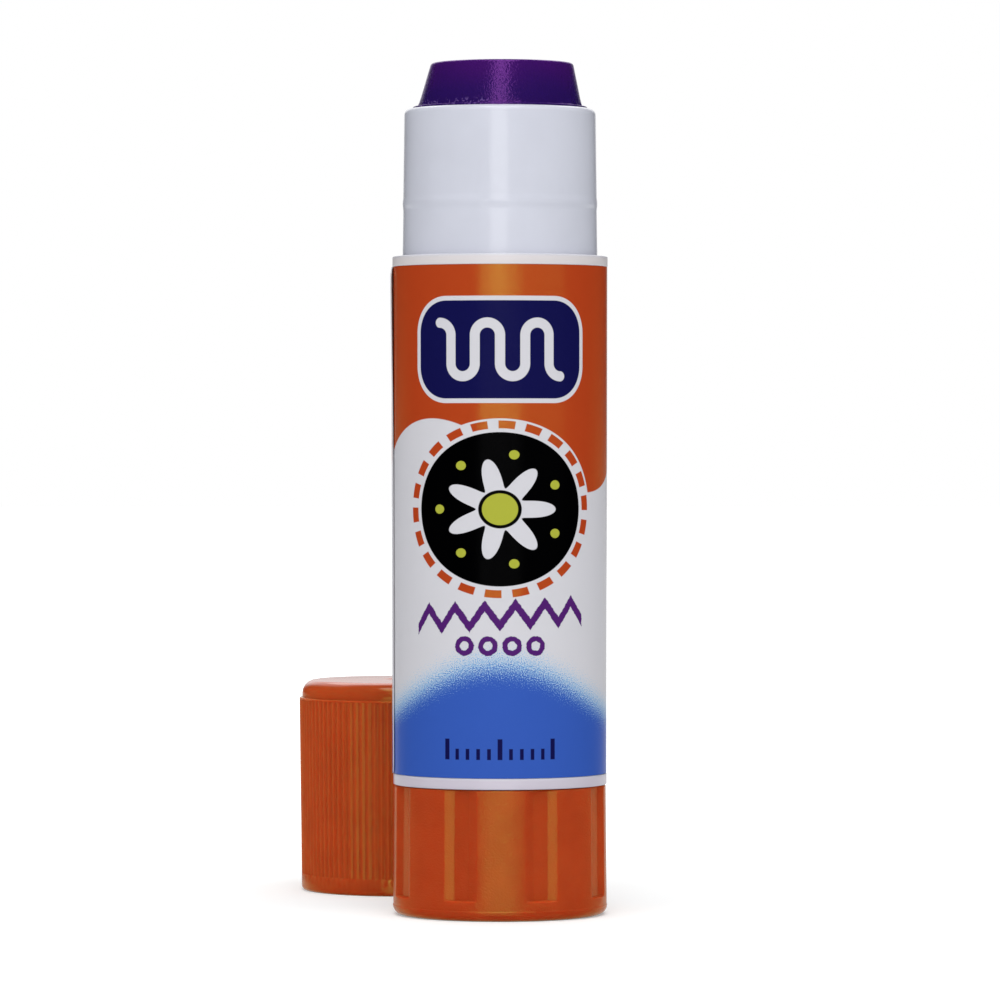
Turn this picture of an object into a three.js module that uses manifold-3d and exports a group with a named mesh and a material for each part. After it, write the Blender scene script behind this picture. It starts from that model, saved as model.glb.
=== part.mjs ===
// A small twist-up glue stick standing on its knob, glue wound up, with its cap stood behind it.
// Millimetres, +Z up. The origin is the middle of the knob's underside, on the stick's axis.
import * as THREE from 'three';
import { mergeVertices } from 'three/addons/utils/BufferGeometryUtils.js';
import Module from 'manifold-3d';

const wasm = await Module();
wasm.setup();

// Roundness of what is turned, in flats to the circle, and of what is moulded as an arc.
const flats = 48;
const spindleFlats = 16;
const arcSteps = 2;
const mergeDistance = 1e-4;

// Barrel. Walls are measured outwards from the bore.
const boreRadius = 8.15;
const neckWall = 0.75;
const neckTaper = 0.12;
const neckHeight = 13.7;
const neckBeadRise = 0.1;
const neckBeadWidth = 1.7;
const neckBeadHeight = 5.1;
const rimRounding = 0.5;
const panelWall = 1.69;
const panelDraft = 0.07;
const barrelLength = 49;
const shoulderBand = 1.05;
const footBand = 1;
const edgeChamfer = 0.15;

// Label: film wrapped round the panel, with its loose end lapped over its first end.
const labelThickness = 0.1;
const labelGap = 0.03;
const labelSetback = 0.03;
const labelEndGap = 0.05;
const labelLapFlats = 1;
const labelFlapLift = 0.12;
const labelSeamAngle = THREE.MathUtils.degToRad(180);

// Knob, and the socket in the barrel's foot that its hub snaps into.
const knobHeight = 11.95;
const knobGap = 0.15;
const knobStep = 0.09;
const knobDraft = 0.06;
const knobFootBand = 2;
const knobFootRise = 0.06;
const knobFootRounding = 0.9;
const knobFloor = 1.1;
const undersideDepth = 0.5;
const undersideLand = 3.5;
const undersideRimWidth = 1.1;
const recessCount = 8;
const recessDepth = 0.45;
const recessLipAngle = THREE.MathUtils.degToRad(18);
const recessFloorAngle = THREE.MathUtils.degToRad(8.4);
const recessTopRim = 0.22;
const socketDepth = 7.9;
const socketWall = 0.75;
const hubClearance = 0.3;
const hubWall = 1;
const hubEndGap = 0.5;
const snapHeight = 6;
const snapBeadWidth = 1.2;
const snapBeadRise = 0.5;
const snapGrooveDepth = 0.35;
const snapPlay = 0.5;
const bossHeight = 7.4;
const bossWall = 1.3;
const footSocketFloor = 0.6;

// Spindle: left-handed, so that the glue rises as the knob turns clockwise, seen from below.
const spindleCore = 2.2;
const threadRise = 0.9;
const threadLead = 4;
const threadRootWidth = 1.6;
const threadCrestWidth = 0.8;
const threadRunOut = 1;
const spindleNose = 0.8;
const flangeRadius = 3;
const flangeHeight = 1;
const hexFootRadius = 1.95;
const hexFootClearance = 0.15;
const hexFootEndGap = 0.3;

// Carrier: runs in the bore, keyed to the barrel's grooves. woundUp is its lift above its lowest place.
const woundUp = 6.5;
const carrierClearance = 0.15;
const carrierHeight = 23;
const carrierSkirtWall = 0.9;
const carrierFloor = 1.2;
const cupDepth = 3.5;
const cupWall = 0.75;
const nutTubeWall = 1;
const nutTubeClearance = 0.3;
const nutTubeSetback = 3.5;
const lugSweep = THREE.MathUtils.degToRad(50);
const lugTipWidth = 1.7;
const lugRootWidth = 2.3;
const lugTipClearance = 0.3;
const lugSetback = 0.4;
const lugSteps = 4;
const guideCount = 4;
const guideDepth = 0.4;
const guideWidth = 2;
const keySideClearance = 0.2;
const keyLength = 10;
const stopGap = 0.3;
const grooveEndWall = 0.3;

// Glue: cast into the carrier's cup, with a bore that the spindle stands in.
const glueClearance = 0.15;
const glueLength = 33.05;
const glueTipLength = 4.05;
const glueLedge = 0.4;
const glueTipTaper = 1;
const glueEdgeRounding = 0.35;
const glueBoreClearance = 0.4;

// Cap, stood mouth down on the table beside the stick.
const capHeight = 20.6;
const capClearance = 0.15;
const capWall = 0.78;
const capTopWall = 1.1;
const capUpperBore = 8.5;
const capBoreBeyondNeck = 0.7;
const capMouthChamfer = 0.25;
const capFootBand = 1.6;
const capFootRounding = 0.35;
const capRibTop = 18.8;
const capRibCount = 96;
const capRibDepth = 0.2;
const capFlare = 0.21;
const capCollarInset = 0.16;
const capCollarRounding = 1.1;
const capCrown = 0.05;
const capDimpleRadius = 2.2;
const capDimpleDepth = 0.25;
const capPlaceX = -9.5;
const capPlaceY = 29;

// Worked out from the sizes above.
const fullTurn = 2 * Math.PI;
const neckRimRadius = boreRadius + neckWall;
const neckFootRadius = neckRimRadius + neckTaper;
const panelRadius = boreRadius + panelWall;
const labelRecess = labelGap + labelThickness + labelSetback;
const shoulderRadius = panelRadius + labelRecess;
const barrelFoot = knobHeight + knobGap;
const shoulderTop = barrelFoot + barrelLength;
const neckTop = shoulderTop + neckHeight;
const panelBottom = barrelFoot + footBand;
const panelTop = shoulderTop - shoulderBand;
const footRadius = shoulderRadius - panelDraft;
const socketRadius = boreRadius + socketWall;
const socketTop = barrelFoot + socketDepth;
const snapCentre = barrelFoot + snapHeight;
const hubRadius = socketRadius - hubClearance;
const hubTop = socketTop - hubEndGap;
const knobRadius = footRadius - knobStep;
const knobFloorTop = undersideDepth + knobFloor;
const bossTop = knobFloorTop + bossHeight;
const bossRadius = hexFootRadius + hexFootClearance + bossWall;
const threadRadius = spindleCore + threadRise;
const carrierBottom = socketTop + woundUp;
const carrierRadius = boreRadius - carrierClearance;
const carrierTop = carrierBottom + carrierHeight;
const glueSeat = carrierTop - cupDepth;
const glueTop = glueSeat + glueLength;
const nutTubeBore = threadRadius + nutTubeClearance;
const nutTubeBottom = carrierBottom + nutTubeSetback;
const lugHalfHeight = (lugRootWidth + threadLead * lugSweep / fullTurn) / 2;
const lowerLugHeight = nutTubeBottom + lugSetback + lugHalfHeight;
const grooveTop = shoulderTop - grooveEndWall;
const travelLeft = grooveTop - stopGap - (carrierBottom + keyLength);
const threadBottom = nutTubeBottom - woundUp - threadRunOut;
const lugTop = lowerLugHeight + threadLead / 2 + lugHalfHeight;
const threadTop = lugTop + travelLeft + threadRunOut;
const spindleTop = threadTop + spindleNose;
const glueBoreTop = spindleTop + stopGap + woundUp;

// Closed solids from three.js geometry, and back

function toSolid(geometry) {
  const bare = geometry.clone();
  bare.deleteAttribute('normal');
  bare.deleteAttribute('uv');
  const merged = mergeVertices(bare, mergeDistance);
  const corners = merged.index.array;
  const triVerts = [];
  for (let i = 0; i < corners.length; i += 3) {
    const [a, b, c] = corners.slice(i, i + 3);
    if (a !== b && b !== c && c !== a) triVerts.push(a, b, c);
  }
  return new wasm.Manifold(new wasm.Mesh({
    numProp: 3,
    vertProperties: Float32Array.from(merged.attributes.position.array),
    triVerts: Uint32Array.from(triVerts),
  }));
}

function toGeometry(solid) {
  const mesh = solid.getMesh();
  const geometry = new THREE.BufferGeometry();
  geometry.setAttribute('position', new THREE.BufferAttribute(mesh.vertProperties, 3));
  geometry.setIndex(new THREE.BufferAttribute(mesh.triVerts, 1));
  geometry.computeVertexNormals();
  return geometry;
}

// Shapes used by more than one piece

// A round solid about Z. The outline is a path of radius and height, anticlockwise.
function turned(outline, steps = flats) {
  const points = outline.getPoints(arcSteps);
  if (points[0].x > 0) points.push(points[0].clone());
  return toSolid(new THREE.LatheGeometry(points, steps).rotateX(Math.PI / 2));
}

// A path through straight corners, each a radius and a height.
function cornered(corners) {
  const path = new THREE.Path();
  corners.forEach(([radius, height], index) => {
    if (index === 0) path.moveTo(radius, height);
    else path.lineTo(radius, height);
  });
  return path;
}

// A straight bar of a drawn section, standing on the plane z = bottom.
function upright(corners, bottom, height) {
  const section = new THREE.Shape(corners.map(([x, y]) => new THREE.Vector2(x, y)));
  return new THREE.ExtrudeGeometry(section, { depth: height, bevelEnabled: false })
    .translate(0, 0, bottom);
}

// Widens or narrows a shape about the axis by a factor that depends on height.
function widen(geometry, factorAt) {
  const place = geometry.attributes.position;
  for (let i = 0; i < place.count; i += 1) {
    const factor = factorAt(place.getZ(i));
    place.setX(i, place.getX(i) * factor);
    place.setY(i, place.getY(i) * factor);
  }
}

// The corners of a regular section with a given number of sides.
function regular(radius, sides) {
  return Array.from({ length: sides }, (_, i) => {
    const angle = i * fullTurn / sides;
    return [radius * Math.cos(angle), radius * Math.sin(angle)];
  });
}

// Copies of a solid set round the axis, as one list.
function around(solid, count, firstAngle) {
  return Array.from({ length: count }, (_, i) => {
    const degrees = THREE.MathUtils.radToDeg(firstAngle + i * fullTurn / count);
    return solid.rotate([0, 0, degrees]);
  });
}

// A ridge wound left-handed round the axis: a bar drawn as a section of radius and height, extruded
// straight, then bent. Its middle is at a given angle and height.
function wound(section, sweep, steps, middleAngle, middleHeight) {
  const shape = new THREE.Shape(section.map(([radius, rise]) => new THREE.Vector2(radius, rise)));
  const bar = new THREE.ExtrudeGeometry(shape, { depth: sweep, steps, bevelEnabled: false });
  const place = bar.attributes.position;
  for (let i = 0; i < place.count; i += 1) {
    const radius = place.getX(i);
    const turn = sweep / 2 - place.getZ(i);
    const angle = middleAngle + turn;
    place.setXYZ(
      i,
      radius * Math.cos(angle),
      radius * Math.sin(angle),
      middleHeight + place.getY(i) - threadLead * turn / fullTurn,
    );
  }
  return toSolid(bar);
}

// Barrel

function barrel() {
  const beadMiddle = shoulderTop + neckBeadHeight;
  const beadRadius = neckFootRadius - neckTaper * neckBeadHeight / neckHeight;
  const outline = cornered([
    [boreRadius, socketTop],
    [socketRadius, socketTop],
    [socketRadius, snapCentre + snapBeadWidth / 2 + snapPlay],
    [socketRadius + snapGrooveDepth, snapCentre + snapBeadWidth / 2 + snapPlay],
    [socketRadius + snapGrooveDepth, snapCentre - snapBeadWidth / 2 - snapPlay],
    [socketRadius, snapCentre - snapBeadWidth / 2 - snapPlay],
    [socketRadius, barrelFoot],
    [footRadius, barrelFoot],
    [footRadius, panelBottom],
    [panelRadius - panelDraft, panelBottom],
    [panelRadius, panelTop],
    [shoulderRadius, panelTop],
    [shoulderRadius, shoulderTop - edgeChamfer],
    [shoulderRadius - edgeChamfer, shoulderTop],
    [neckFootRadius, shoulderTop],
    [beadRadius, beadMiddle - neckBeadWidth / 2],
    [beadRadius + neckBeadRise, beadMiddle],
    [beadRadius, beadMiddle + neckBeadWidth / 2],
    [neckRimRadius, neckTop - rimRounding],
  ]);
  outline.absarc(neckRimRadius - rimRounding, neckTop - rimRounding, rimRounding, 0, Math.PI / 2);
  outline.lineTo(boreRadius, neckTop);

  const grooveReach = boreRadius + guideDepth;
  const grooveInside = boreRadius / 2;
  const groove = toSolid(upright([
    [grooveInside, -guideWidth / 2],
    [grooveReach, -guideWidth / 2],
    [grooveReach, guideWidth / 2],
    [grooveInside, guideWidth / 2],
  ], socketTop - hubEndGap / 2, grooveTop - socketTop + hubEndGap / 2));
  const grooves = around(groove, guideCount, fullTurn / guideCount / 2);
  return grooves.reduce((body, cut) => body.subtract(cut), turned(outline));
}

// Label

function label() {
  const bottom = panelBottom + labelEndGap;
  const top = panelTop - labelEndGap;
  const lapRise = labelThickness + labelGap;
  const inside = [];
  const outside = [];
  for (let i = 0; i <= flats + labelLapFlats; i += 1) {
    const angle = labelSeamAngle + i * fullTurn / flats;
    const overLap = THREE.MathUtils.clamp((i - (flats - labelLapFlats)) / labelLapFlats, 0, 1);
    const flap = i === flats + labelLapFlats ? labelFlapLift : 0;
    const radius = panelRadius + labelGap + overLap * lapRise + flap;
    inside.push([radius * Math.cos(angle), radius * Math.sin(angle)]);
    outside.push([
      (radius + labelThickness) * Math.cos(angle),
      (radius + labelThickness) * Math.sin(angle),
    ]);
  }
  const wrap = upright([...outside, ...inside.reverse()], bottom, top - bottom);
  const panelLength = panelTop - panelBottom;
  widen(wrap, (height) => 1 - panelDraft * (panelTop - height) / panelLength / panelRadius);
  return toSolid(wrap);
}

// Knob

function knob() {
  const footRim = knobRadius + knobDraft + knobFootRise;
  const beadHalf = snapBeadWidth / 2;
  const outline = cornered([
    [0, 0],
    [undersideLand, 0],
    [undersideLand, undersideDepth],
    [footRim - knobFootRounding - undersideRimWidth, undersideDepth],
    [footRim - knobFootRounding - undersideRimWidth, 0],
    [footRim - knobFootRounding, 0],
  ]);
  outline.absarc(footRim - knobFootRounding, knobFootRounding, knobFootRounding, -Math.PI / 2, 0);
  outline.lineTo(footRim, knobFootBand - knobFootRise);
  outline.lineTo(knobRadius + knobDraft, knobFootBand);
  outline.lineTo(knobRadius, knobHeight - edgeChamfer);
  outline.lineTo(knobRadius - edgeChamfer, knobHeight);
  outline.lineTo(hubRadius, knobHeight);
  outline.lineTo(hubRadius, snapCentre - beadHalf);
  outline.lineTo(hubRadius + snapBeadRise, snapCentre - beadHalf / 3);
  outline.lineTo(hubRadius + snapBeadRise, snapCentre + beadHalf / 3);
  outline.lineTo(hubRadius, snapCentre + beadHalf);
  outline.lineTo(hubRadius, hubTop);
  outline.lineTo(hubRadius - hubWall, hubTop);
  outline.lineTo(hubRadius - hubWall, knobFloorTop);
  outline.lineTo(bossRadius, knobFloorTop);
  outline.lineTo(bossRadius, bossTop);
  outline.lineTo(0, bossTop);

  const recessFloor = knobRadius - recessDepth;
  const beyond = knobRadius + recessDepth;
  const floorHalf = recessFloor * Math.sin(recessFloorAngle / 2);
  const lipHalf = knobRadius * Math.sin(recessLipAngle / 2);
  const beyondHalf = 2 * lipHalf - floorHalf;
  const recess = toSolid(upright([
    [recessFloor, -floorHalf],
    [beyond, -beyondHalf],
    [beyond, beyondHalf],
    [recessFloor, floorHalf],
  ], knobFootBand, knobHeight - recessTopRim - knobFootBand));
  const recesses = around(recess, recessCount, fullTurn / recessCount / 2);

  const footSocketBottom = knobFloorTop + footSocketFloor;
  const footSocket = toSolid(upright(
    regular(hexFootRadius + hexFootClearance, 6),
    footSocketBottom,
    bossTop - footSocketBottom + bossHeight,
  ));
  return [...recesses, footSocket].reduce((body, cut) => body.subtract(cut), turned(outline));
}

// Spindle

function spindle() {
  const flangeTop = bossTop + flangeHeight;
  const rod = turned(cornered([
    [0, bossTop],
    [flangeRadius, bossTop],
    [flangeRadius, flangeTop],
    [spindleCore, flangeTop],
    [spindleCore, threadTop],
    [spindleCore / 2, spindleTop],
    [0, spindleTop],
  ]), spindleFlats);
  const footBottom = knobFloorTop + footSocketFloor + hexFootEndGap;
  const foot = toSolid(upright(
    regular(hexFootRadius, 6), footBottom, bossTop - footBottom + flangeHeight / 2,
  ));

  const root = spindleCore - threadRise / 3;
  const ridgeSection = [
    [root, -threadRootWidth / 2],
    [threadRadius, -threadCrestWidth / 2],
    [threadRadius, threadCrestWidth / 2],
    [root, threadRootWidth / 2],
  ];
  // Turned so that the ridge passes half a lead above the lower lug, at the lug's angle.
  const ridgeLength = threadTop - threadBottom - threadRootWidth;
  const turns = ridgeLength / threadLead;
  const ridgeMiddle = (threadTop + threadBottom) / 2;
  const leadsFromLug = (ridgeMiddle - lowerLugHeight - threadLead / 2) / threadLead;
  const ridge = wound(
    ridgeSection,
    turns * fullTurn,
    Math.round(turns * spindleFlats),
    -leadsFromLug * fullTurn,
    ridgeMiddle,
  );
  return rod.add(foot).add(ridge);
}

// Carrier

function carrier() {
  const floorBottom = glueSeat - carrierFloor;
  const tubeRadius = nutTubeBore + nutTubeWall;
  const shell = turned(cornered([
    [nutTubeBore, nutTubeBottom],
    [tubeRadius, nutTubeBottom],
    [tubeRadius, floorBottom],
    [carrierRadius - carrierSkirtWall, floorBottom],
    [carrierRadius - carrierSkirtWall, carrierBottom],
    [carrierRadius, carrierBottom],
    [carrierRadius, carrierTop],
    [carrierRadius - cupWall, carrierTop],
    [carrierRadius - cupWall, glueSeat],
    [nutTubeBore, glueSeat],
  ]));

  const keyReach = carrierRadius + guideDepth;
  const keyInside = carrierRadius - carrierSkirtWall / 2;
  const keyHalf = guideWidth / 2 - keySideClearance;
  const key = toSolid(upright([
    [keyInside, -keyHalf],
    [keyReach, -keyHalf],
    [keyReach, keyHalf],
    [keyInside, keyHalf],
  ], carrierBottom, keyLength));

  const tip = spindleCore + lugTipClearance;
  const lugRoot = nutTubeBore + nutTubeWall / 2;
  const lugSection = [
    [tip, -lugTipWidth / 2],
    [lugRoot, -lugRootWidth / 2],
    [lugRoot, lugRootWidth / 2],
    [tip, lugTipWidth / 2],
  ];
  const lugs = [
    wound(lugSection, lugSweep, lugSteps, 0, lowerLugHeight),
    wound(lugSection, lugSweep, lugSteps, Math.PI, lowerLugHeight + threadLead / 2),
  ];
  const keys = around(key, guideCount, fullTurn / guideCount / 2);
  return [...keys, ...lugs].reduce((body, added) => body.add(added), shell);
}

// Glue

function glueCore() {
  const glueRadius = boreRadius - glueClearance;
  const plugRadius = carrierRadius - cupWall - glueClearance;
  const glueBore = threadRadius + glueBoreClearance;
  const tipFoot = glueTop - glueTipLength;
  const tipRadius = glueRadius - glueLedge - glueTipTaper;
  const outline = cornered([
    [glueBore, glueSeat],
    [plugRadius, glueSeat],
    [plugRadius, carrierTop + glueClearance],
    [glueRadius, carrierTop + glueClearance],
    [glueRadius, tipFoot],
    [glueRadius - glueLedge, tipFoot],
    [tipRadius, glueTop - glueEdgeRounding],
  ]);
  outline.absarc(
    tipRadius - glueEdgeRounding, glueTop - glueEdgeRounding, glueEdgeRounding, 0, Math.PI / 2,
  );
  outline.lineTo(0, glueTop);
  outline.lineTo(0, glueBoreTop);
  outline.lineTo(glueBore, glueBoreTop);
  outline.lineTo(glueBore, glueSeat);
  return turned(outline);
}

// Cap

function cap() {
  const capBore = neckFootRadius + capClearance;
  const footEdge = capBore + capWall;
  const boreStep = neckHeight + capBoreBeyondNeck;
  const ceiling = capHeight - capTopWall;
  const collarRadius = footEdge + capFlare - capRibDepth - capCollarInset;
  const collarShoulder = capHeight - capCrown - capCollarRounding;
  const body = cornered([
    [0, 0],
    [footEdge - capFootRounding, 0],
  ]);
  body.absarc(footEdge - capFootRounding, capFootRounding, capFootRounding, -Math.PI / 2, 0);
  body.lineTo(footEdge, capFootBand);
  body.lineTo(capBore, capFootBand);
  body.lineTo(capBore, capRibTop);
  body.lineTo(collarRadius, capRibTop);
  body.lineTo(collarRadius, collarShoulder);
  body.absarc(
    collarRadius - capCollarRounding, collarShoulder, capCollarRounding, 0, Math.PI / 2,
  );
  body.lineTo(capDimpleRadius, capHeight);
  body.lineTo(0, capHeight - capDimpleDepth);

  // The ribs: a bar with a scalloped outside, wider at its top.
  const scallops = Array.from({ length: 2 * capRibCount }, (_, i) => {
    const angle = i * fullTurn / (2 * capRibCount);
    const radius = i % 2 === 0 ? footEdge : footEdge - capRibDepth;
    return [radius * Math.cos(angle), radius * Math.sin(angle)];
  });
  const ribLength = capRibTop - capFootBand;
  const ribs = upright(scallops, capFootBand, ribLength);
  widen(ribs, (height) => 1 + capFlare * (height - capFootBand) / ribLength / footEdge);

  const hollow = turned(cornered([
    [0, -capMouthChamfer],
    [capBore + 2 * capMouthChamfer, -capMouthChamfer],
    [capBore, capMouthChamfer],
    [capBore, boreStep],
    [capUpperBore, boreStep],
    [capUpperBore, ceiling],
    [0, ceiling],
  ]));
  return turned(body).add(toSolid(ribs)).subtract(hollow);
}

// Assembly

function finish(color, roughness) {
  return new THREE.MeshStandardMaterial({ color, roughness, metalness: 0 });
}

const whitePlastic = finish(0xdcdce6, 0.35);
const orangePlastic = finish(0xb23c1a, 0.4);
const naturalPlastic = finish(0xe6e4dc, 0.45);
const printedFilm = finish(0xc05a30, 0.25);
const purpleGlue = finish(0x2d0f5f, 0.5);

const glueStick = new THREE.Group();
const pieces = [
  ['barrel', barrel(), whitePlastic],
  ['label', label(), printedFilm],
  ['knob', knob(), orangePlastic],
  ['spindle', spindle(), orangePlastic],
  ['carrier', carrier(), naturalPlastic],
  ['glue_core', glueCore(), purpleGlue],
  ['cap', cap(), orangePlastic],
];
for (const [name, solid, material] of pieces) {
  const mesh = new THREE.Mesh(toGeometry(solid), material);
  mesh.name = name;
  if (name === 'cap') mesh.position.set(capPlaceX, capPlaceY, 0);
  glueStick.add(mesh);
}

export default glueStick;
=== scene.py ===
"""A small twist-up glue stick and its cap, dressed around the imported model. Metres, +Z up."""

import math

import bmesh
import bpy
from bpy.props import (
    FloatProperty,
    FloatVectorProperty,
    IntProperty,
    PointerProperty,
)
from mathutils import Matrix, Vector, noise


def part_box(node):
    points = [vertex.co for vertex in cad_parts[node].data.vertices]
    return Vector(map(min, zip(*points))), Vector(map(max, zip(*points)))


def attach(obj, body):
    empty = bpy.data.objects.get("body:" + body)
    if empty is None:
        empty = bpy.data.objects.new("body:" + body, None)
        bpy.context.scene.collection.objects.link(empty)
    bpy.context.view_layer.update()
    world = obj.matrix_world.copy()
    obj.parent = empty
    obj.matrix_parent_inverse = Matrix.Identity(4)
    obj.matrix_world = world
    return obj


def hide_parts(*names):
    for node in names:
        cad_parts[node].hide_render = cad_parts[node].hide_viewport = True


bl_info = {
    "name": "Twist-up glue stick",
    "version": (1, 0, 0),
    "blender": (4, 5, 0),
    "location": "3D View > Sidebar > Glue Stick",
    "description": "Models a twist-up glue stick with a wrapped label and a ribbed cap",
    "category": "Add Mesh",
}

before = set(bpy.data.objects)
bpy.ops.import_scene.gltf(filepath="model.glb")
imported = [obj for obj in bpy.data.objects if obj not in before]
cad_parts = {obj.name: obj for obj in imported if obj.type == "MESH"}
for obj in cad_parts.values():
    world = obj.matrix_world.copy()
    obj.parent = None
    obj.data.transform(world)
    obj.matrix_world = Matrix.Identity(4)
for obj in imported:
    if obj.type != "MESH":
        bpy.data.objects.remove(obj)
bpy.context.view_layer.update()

MM = 0.001
FULL_TURN = 2 * math.pi
FRONT = -math.pi / 2
LIGHT_PATHS = ("Is Camera Ray", "Is Glossy Ray", "Is Transmission Ray")


def length(name, description, millimetres):
    """A length that the user can set, given here in millimetres."""
    return FloatProperty(
        name=name,
        description=description,
        default=millimetres * MM,
        min=0,
        precision=5,
        unit="LENGTH",
    )


def degrees(name, description, value):
    """An angle that the user can set, given here in degrees."""
    return FloatProperty(
        name=name, description=description, default=math.radians(value), unit="ROTATION"
    )


def colour(name, description, value):
    """A linear colour that the user can set."""
    return FloatVectorProperty(
        name=name, description=description, default=value, subtype="COLOR", min=0, max=1
    )


def factor(name, description, value, highest=1.0):
    """A plain number that the user can set."""
    return FloatProperty(name=name, description=description, default=value, min=0, max=highest)


def count(name, description, value, least):
    """A whole number that the user can set."""
    return IntProperty(name=name, description=description, default=value, min=least)


class StickSizes(bpy.types.PropertyGroup):
    """Sizes of the barrel and of the label round it."""

    bore: length("Bore radius", "Inside of the barrel", 8.15)
    neck_wall: length("Neck wall", "Wall of the neck at its rim", 0.73)
    neck_taper: length("Neck taper", "How much wider the neck is at its foot", 0.17)
    neck_height: length("Neck height", "From the shoulder to the rim", 13.7)
    bead_rise: length("Bead rise", "How far the cap's snap bead stands out", 0.07)
    bead_width: length("Bead width", "Width of the cap's snap bead", 1.2)
    bead_height: length("Bead height", "From the shoulder to the middle of the bead", 4.9)
    rim_rounding: length("Rim rounding", "Outer edge of the neck's mouth", 0.55)
    panel_wall: length("Panel wall", "Wall of the barrel under the label", 1.69)
    panel_draft: length("Panel draft", "How much narrower the barrel is at its foot", 0.07)
    band_rise: length("Band rise", "How far the plain bands stand out from the panel", 0.16)
    band_rounding: length("Band rounding", "Edges of the shoulder and the foot band", 0.12)
    groove_count: count("Guide grooves", "Grooves for the carrier's keys", 4, 1)
    groove_depth: length("Guide groove depth", "Grooves for the carrier's keys", 0.4)
    groove_width: length("Guide groove width", "Grooves for the carrier's keys", 2.0)
    groove_end: length("Guide groove end", "Wall left between groove and shoulder", 0.3)
    socket_wall: length("Socket step", "How much wider the knob's socket is than the bore", 0.75)
    socket_gap: length("Socket gap", "Room above the end of the knob's hub", 0.5)
    snap_height: length("Snap height", "From the barrel's foot to the knob's snap bead", 6.0)
    snap_half: length("Snap groove", "Half height of the groove for that bead", 1.1)
    snap_depth: length("Snap groove depth", "Groove for that bead", 0.35)
    film: length("Film thickness", "Thickness of the label", 0.1)
    film_gap: length("Film gap", "Glue line under the label", 0.03)
    film_rise: length("Film rise", "How much higher the film ends than the packed label", 0.13)
    film_play: length("Film play", "Gap between the film and the foot band", 0.05)
    flap_lift: length("Flap lift", "How far the label's loose edge stands up", 0.22)
    flap_end: degrees("Flap end", "Angle of the label's loose edge past the left side", 9.5)
    flap_lap: degrees("Flap lap", "How far the label laps over its first end", 9.0)
    flap_corner: length("Flap corner", "Rounding of the loose edge's corners", 0.8)


class KnobSizes(bpy.types.PropertyGroup):
    """Sizes of the knob."""

    step: length("Step", "How much narrower the knob is than the barrel's foot", 0.09)
    draft: length("Draft", "How much wider the knob's pads are at their foot", 0.06)
    gap: length("Gap", "Gap between the knob and the barrel's foot", 0.06)
    band: length("Foot band", "Height of the plain band at the knob's foot", 1.82)
    band_rise: length("Foot band rise", "How far that band stands out from the pads", 0.03)
    band_blend: length("Foot band blend", "Height over which that band fades into the pads", 2.0)
    heel: length("Heel", "Rounding of the edge that the stick stands on", 0.9)
    heel_rise: length("Heel rise", "How far the heel stands out from the foot band", 0.035)
    rim: length("Foot rim", "Flat width of the foot inside the heel", 1.1)
    land: length("Land", "Radius of the flat land under the knob", 3.5)
    hollow: length("Hollow", "Depth of the ring between the land and the foot rim", 0.5)
    gate: length("Gate mark", "Radius of the moulding mark in the land", 1.2)
    gate_depth: length("Gate mark depth", "Depth of the moulding mark", 0.08)
    recess_depth: length("Recess depth", "Finger recesses round the knob", 0.45)
    recess_lip: degrees("Recess lip", "Half width of a finger recess at its lip", 9.4)
    recess_floor: degrees("Recess floor", "Half width of a finger recess at its floor", 4.3)
    recess_turn: degrees("Recess turn", "Turn of the knob as it stands", 0.6)
    recess_count: count("Recesses", "Finger recesses", 8, 3)
    hub_gap: length("Hub gap", "Gap between the knob's hub and its socket", 0.3)
    hub_wall: length("Hub wall", "Wall of the hub", 1.0)
    snap_rise: length("Snap bead", "How far the snap bead stands out from the hub", 0.5)
    snap_foot: length("Snap bead foot", "Half height of that bead where it meets the hub", 0.6)
    snap_crest: length("Snap bead crest", "Half height of that bead at its crest", 0.2)
    floor: length("Floor", "Height of the floor inside the hub", 1.6)
    boss: length("Boss", "Radius of the post that holds the spindle's foot", 3.4)
    boss_top: length("Boss top", "Height of that post's end", 9.0)
    hole: length("Boss hole", "Radius of the hole for the spindle's foot", 2.1)
    hole_floor: length("Boss hole floor", "Height of that hole's floor", 2.2)


class GlueSizes(bpy.types.PropertyGroup):
    """Sizes of the glue."""

    gap: length("Gap", "Gap between the glue and the bore", 0.04)
    tip: length("Tip", "Height of the tapered tip", 4.05)
    ledge: length("Ledge", "Step at the foot of the tapered tip", 0.5)
    taper: length("Taper", "How much the tip narrows to its end", 1.02)
    edge: length("Edge", "Rounding of the tip's end", 0.3)
    lean: length("Lean", "How far the tip's end leans to the right", 0.2)
    sway: length("Sway", "Unevenness of the tip", 0.02)
    sway_size: length("Sway size", "Size of that unevenness", 2.4)
    crumbs: length("Crumbs", "Lumps scraped up round the foot of the tip", 0.22)
    crumb_size: length("Crumb size", "Width of those lumps", 0.45)
    crumb_band: length("Crumb band", "Height over which those lumps fade out", 0.3)
    plug: length("Plug", "Radius of the glue's foot in the carrier's cup", 7.1)
    plug_gap: length("Plug gap", "Gap over the cup's edge", 0.15)
    hole: length("Hole", "Radius of the hole over the spindle", 3.5)
    hole_rise: length("Hole rise", "How far that hole reaches above the spindle", 6.8)


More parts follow.
